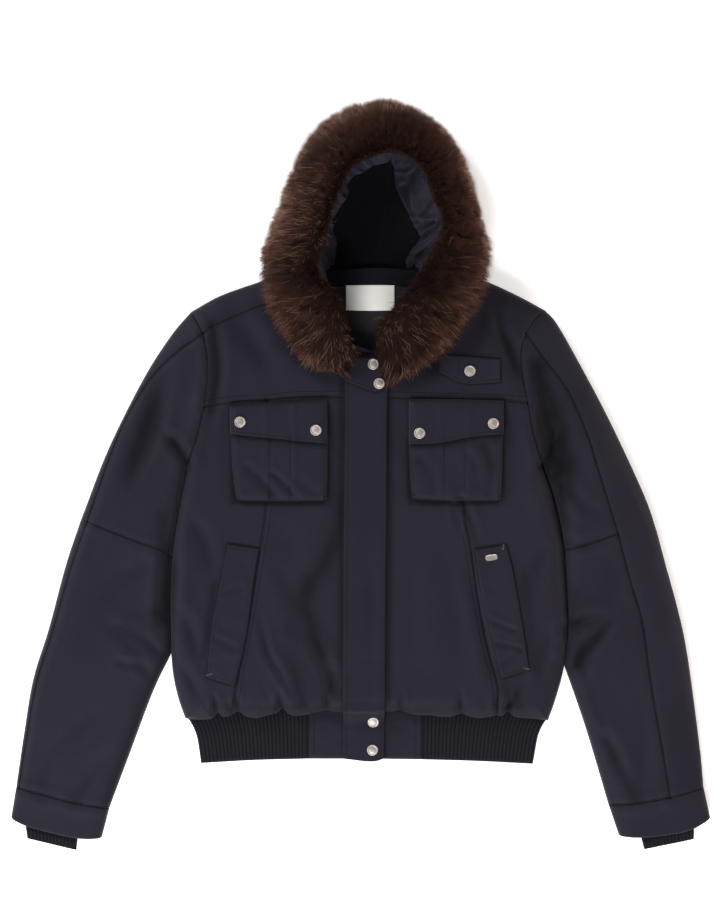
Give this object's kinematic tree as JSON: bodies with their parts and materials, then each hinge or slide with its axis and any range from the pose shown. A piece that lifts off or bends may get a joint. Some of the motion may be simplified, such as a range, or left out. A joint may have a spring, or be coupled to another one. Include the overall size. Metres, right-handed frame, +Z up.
{
  "type": "hooded bomber jacket laid flat",
  "caption": "Padded hooded bomber jacket with a fur ruff, flap pockets, storm flap and ribbed hem and cuffs, laid flat on its back.",
  "frame": {"origin": "on the surface that the jacket lies on, under the middle of its outline", "axes": "+Y from the hem towards the hood, +X towards the wearer's left sleeve, +Z up out of the front"},
  "size_m": [0.9476, 1.011, 0.094],
  "materials": {
    "shell": "dense dark navy twill, soft sheen",
    "rib_knit": "dark navy rib knit, matt",
    "lining": "near-black navy lining, matt",
    "fur": "long dark brown fur with paler tips",
    "label": "cream woven satin, bare",
    "snap_metal": "satin silver"
  },
  "bodies": {
    "root": {"back": "shell", "chest_flap_left": "shell", "chest_flap_right": "shell", "chest_pocket_left": "shell", "chest_pocket_right": "shell", "cuff_band_left": "shell", "cuff_band_right": "shell", "front_centre_left": "shell", "front_centre_right": "shell", "front_side_left": "shell", "front_side_right": "shell", "front_yoke_left": "shell", "front_yoke_right": "shell", "fur_trim": "fur", "hand_welt_left": "shell", "hand_welt_right": "shell", "hem_insert_left": "shell", "hem_insert_right": "shell", "hem_rib_back": "rib_knit", "hem_rib_left": "rib_knit", "hem_rib_right": "rib_knit", "hood_facing_left": "shell", "hood_facing_right": "shell", "hood_lining_left": "lining", "hood_lining_right": "lining", "hood_side_left": "shell", "hood_side_right": "shell", "label": "label", "neck_facing": "shell", "placket": "shell", "pocket_bar": "snap_metal", "rib_cuff_left": "rib_knit", "rib_cuff_right": "rib_knit", "shoulder_yoke_left": "shell", "shoulder_yoke_right": "shell", "sleeve_back_left": "shell", "sleeve_back_right": "shell", "sleeve_lower_left": "shell", "sleeve_lower_right": "shell", "sleeve_top_left": "shell", "sleeve_top_right": "shell", "sleeve_upper_left": "shell", "sleeve_upper_right": "shell", "snap_hem_lower": "snap_metal", "snap_hem_upper": "snap_metal", "snap_pocket_left_inner": "snap_metal", "snap_pocket_left_outer": "snap_metal", "snap_pocket_right_inner": "snap_metal", "snap_pocket_right_outer": "snap_metal", "snap_throat_lower": "snap_metal", "snap_throat_upper": "snap_metal", "snap_yoke_tab": "snap_metal", "throat_tab": "shell", "yoke_tab": "shell"}
  },
  "joints": []
}
